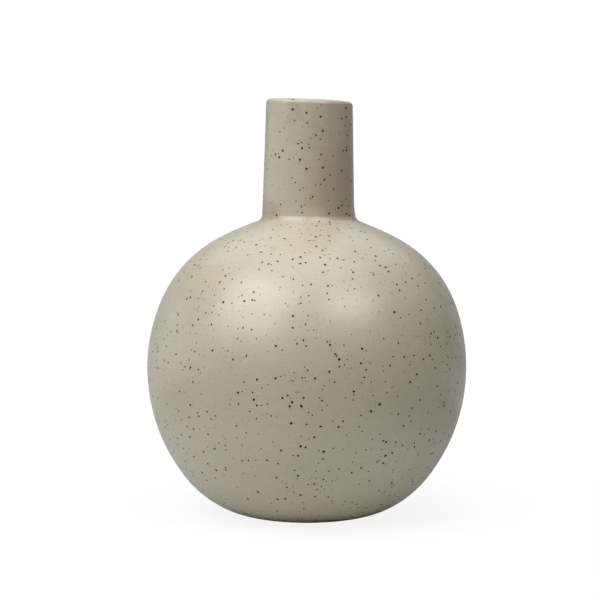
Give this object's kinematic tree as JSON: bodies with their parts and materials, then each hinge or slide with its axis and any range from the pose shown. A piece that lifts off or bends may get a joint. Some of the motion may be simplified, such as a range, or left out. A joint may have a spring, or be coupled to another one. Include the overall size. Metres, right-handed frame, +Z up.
{
  "type": "stoneware bottle vase",
  "caption": "Round-bellied stoneware bottle vase with a tall straight neck, built from luted thrown sections under a speckled satin glaze.",
  "frame": {"origin": "centre of the foot, on the surface the vase stands on", "axes": "+Z up along the pot's axis of revolution and the neck's bore; X and Y are level and interchangeable"},
  "size_m": [0.1856, 0.1856, 0.241],
  "materials": {
    "stoneware_clay": "unglazed buff-brown stoneware, fine grog",
    "joint_slip": "fired slip of the same clay, smooth and dry",
    "liner_glaze": "satin oatmeal glaze with fine iron specks",
    "speckled_glaze": "satin greige glaze with dark iron specks"
  },
  "bodies": {
    "root": {"foot_ring": "stoneware_clay", "foot_slip": "joint_slip", "lower_bowl": "stoneware_clay", "belly_slip": "joint_slip", "upper_dome": "stoneware_clay", "neck_slip": "joint_slip", "neck": "stoneware_clay", "neck_coil": "stoneware_clay", "liner_glaze": "liner_glaze", "base_glaze": "speckled_glaze", "outer_glaze": "speckled_glaze"}
  },
  "joints": []
}
